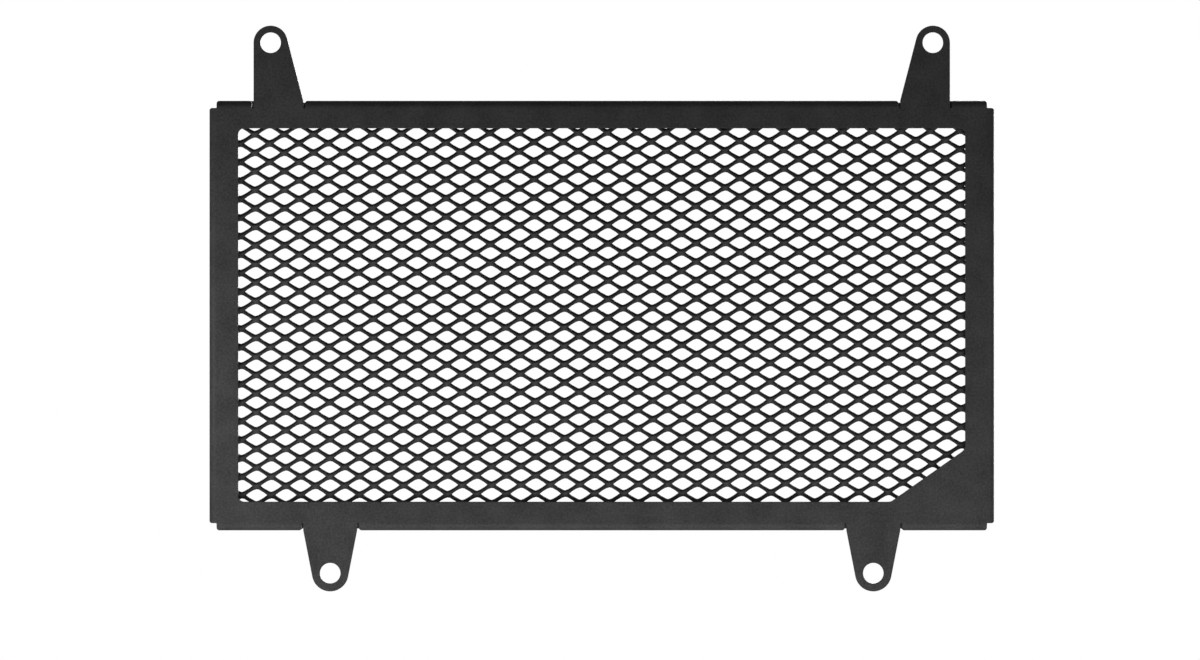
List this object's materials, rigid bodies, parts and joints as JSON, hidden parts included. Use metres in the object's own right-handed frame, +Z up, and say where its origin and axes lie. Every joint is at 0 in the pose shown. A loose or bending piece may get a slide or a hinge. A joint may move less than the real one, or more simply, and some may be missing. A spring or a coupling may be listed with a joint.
{
  "type": "radiator grille",
  "caption": "Flat radiator grille: a folded sheet metal frame with bolt tabs and a corner gusset around a window of diamond expanded metal, coated black.",
  "frame": {"origin": "midway between the two top bolt holes, on the rear face of the bolt tabs", "axes": "+X to the right seen from the front, +Y to the rear towards the radiator, +Z up"},
  "size_m": [0.267, 0.01, 0.1924],
  "materials": {
    "frame_coat": "matte",
    "mesh_coat": "satin",
    "weld_coat": "satin"
  },
  "bodies": {
    "root": {"frame": "frame_coat", "mesh_panel": "mesh_coat", "tack_welds": "weld_coat"}
  },
  "joints": []
}
